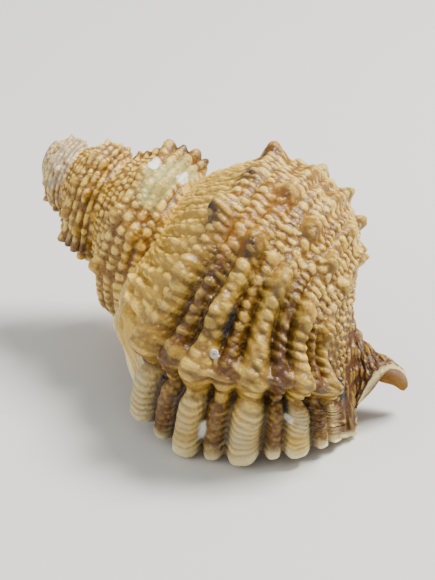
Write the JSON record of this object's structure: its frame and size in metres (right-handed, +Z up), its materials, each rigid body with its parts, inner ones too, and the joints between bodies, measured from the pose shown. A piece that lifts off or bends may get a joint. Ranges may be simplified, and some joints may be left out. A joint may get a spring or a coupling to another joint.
{
  "type": "sea shell",
  "caption": "Heavy coiled frog shell with knobbed whorls, a fluted flared lip and a short upturned canal, lying on its aperture.",
  "frame": {"origin": "centre of the bounding box, at the level the shell rests on", "axes": "+X from the spire's tip towards the siphonal canal, -Y towards the outer lip, +Z up from the resting surface"},
  "size_m": [0.0926, 0.0702, 0.0503],
  "materials": {
    "shell": "satin, ochre with cream knobs and dark brown grooves",
    "worm_tube": "matt chalk"
  },
  "bodies": {
    "root": {"shell": "shell", "worm_tube": "worm_tube"}
  },
  "joints": []
}
